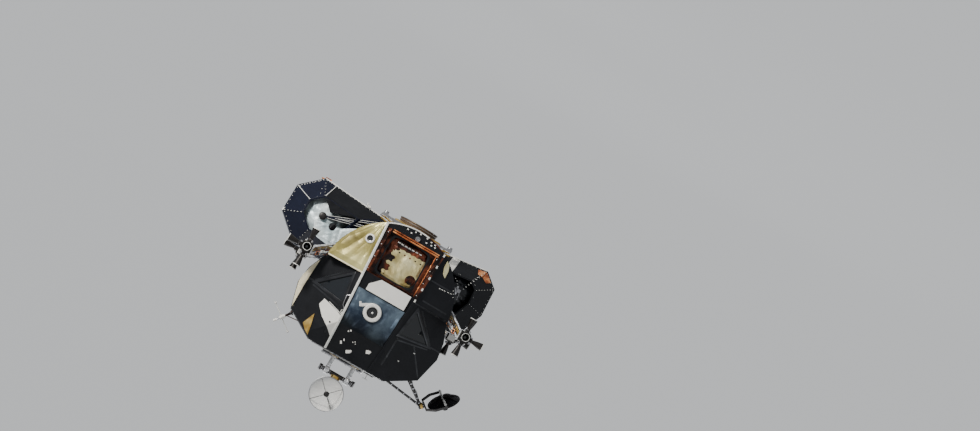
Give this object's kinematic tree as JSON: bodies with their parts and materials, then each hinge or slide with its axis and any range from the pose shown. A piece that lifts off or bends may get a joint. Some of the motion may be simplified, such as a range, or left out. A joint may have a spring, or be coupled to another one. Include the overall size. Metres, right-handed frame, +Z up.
{
  "type": "lunar module ascent stage",
  "caption": "Crewed lunar lander's upper stage: faceted cabin with forward hatch, tank bays, thruster clusters, docking tunnel, radar dish and steerable antenna.",
  "frame": {"origin": "centre of the interstage plane, between the four fittings that carry the stage", "axes": "+Z up along the engine's axis, -Y forward, +X to port"},
  "size_m": [4.675, 4.112, 3.9499],
  "materials": {
    "black_skin": "black painted thin shields, satin, faintly dimpled",
    "amber_foil": "crinkled amber film blanket",
    "silver_foil": "crinkled silver-blue foil",
    "white_shield": "white painted shield",
    "copper_foil": "crinkled copper-red film",
    "tank_blanket": "pale blanket, wrinkled",
    "nozzle_metal": "dark heat-stained metal",
    "bell_liner": "brown ablative liner",
    "strut_metal": "wrapped aluminium tubes",
    "dish_white": "matt white reflector",
    "window_glass": "dark coated glass",
    "bare_metal": "machined aluminium"
  },
  "bodies": {
    "stage": {"aft_closeout_port": "white_shield", "aft_closeout_starboard": "black_skin", "aft_equipment_bay": "black_skin", "aft_panel": "black_skin", "antenna_boom": "bare_metal", "base_heat_shield": "black_skin", "brow_panel": "silver_foil", "cabin_bulkhead": "black_skin", "cabin_floor_shell": "black_skin", "cabin_roof": "black_skin", "cabin_side_port": "black_skin", "cabin_side_starboard": "black_skin", "docking_glass": "window_glass", "docking_tunnel": "bare_metal", "drogue": "bare_metal", "engine": "bare_metal", "engine_bay": "bare_metal", "engine_bell": "bell_liner", "front_frame": "black_skin", "fuel_bay_shield": "black_skin", "fuel_tank": "tank_blanket", "fuel_tank_struts": "strut_metal", "hatch_recess": "copper_foil", "interstage_fittings": "bare_metal", "ledge": "white_shield", "midsection": "black_skin", "outrigger_aft_port": "strut_metal", "outrigger_aft_starboard": "strut_metal", "outrigger_forward_port": "strut_metal", "outrigger_forward_starboard": "strut_metal", "oxidizer_bay_shield": "black_skin", "oxidizer_tank": "tank_blanket", "oxidizer_tank_struts": "strut_metal", "quarter_panel_port": "amber_foil", "quarter_panel_starboard": "black_skin", "radar_posts": "strut_metal", "thruster_quad_aft_port": "nozzle_metal", "thruster_quad_aft_starboard": "nozzle_metal", "thruster_quad_forward_port": "nozzle_metal", "thruster_quad_forward_starboard": "nozzle_metal", "tracking_light": "white_shield", "whip_antenna": "strut_metal", "window_glass_port": "window_glass", "window_glass_starboard": "window_glass", "window_panel_port": "black_skin", "window_panel_starboard": "black_skin", "window_shelf": "black_skin"},
    "forward_hatch": {"forward_hatch": "amber_foil"},
    "overhead_hatch": {"overhead_hatch": "bare_metal"},
    "radar_yoke": {"radar_yoke": "bare_metal"},
    "radar_dish": {"radar_dish": "dish_white"},
    "antenna_fork": {"antenna_fork": "bare_metal"},
    "antenna_dish": {"antenna_dish": "dish_white"}
  },
  "joints": [
    {"name": "forward_hatch_hinge", "type": "hinge", "parent": "stage", "child": "forward_hatch", "pos_m": [-0.45, -1.69, 0.752], "axis": [0, 0, 1], "range_deg": [0, 92]},
    {"name": "overhead_hatch_hinge", "type": "hinge", "parent": "stage", "child": "overhead_hatch", "pos_m": [0, -0.412, 2.549], "axis": [-1, 0, 0], "range_deg": [0, 80]},
    {"name": "radar_shaft", "type": "hinge", "parent": "stage", "child": "radar_yoke", "pos_m": [0, -1.13, 3.147], "axis": [1, 0, 0], "range_deg": [-60, 70]},
    {"name": "radar_trunnion", "type": "hinge", "parent": "radar_yoke", "child": "radar_dish", "pos_m": [0, -1.13, 3.537], "axis": [0, 0, 1], "range_deg": [-55, 55]},
    {"name": "antenna_azimuth", "type": "hinge", "parent": "stage", "child": "antenna_fork", "pos_m": [-1.735, -0.25, 2.812], "axis": [-0.7006, 0, -0.7136], "range_deg": [-174.5, 174.5]},
    {"name": "antenna_elevation", "type": "hinge", "parent": "antenna_fork", "child": "antenna_dish", "pos_m": [-1.97863, -0.26531, 2.51111], "axis": [0.2731, 0.9239, -0.2681], "range_deg": [-75, 255]}
  ]
}
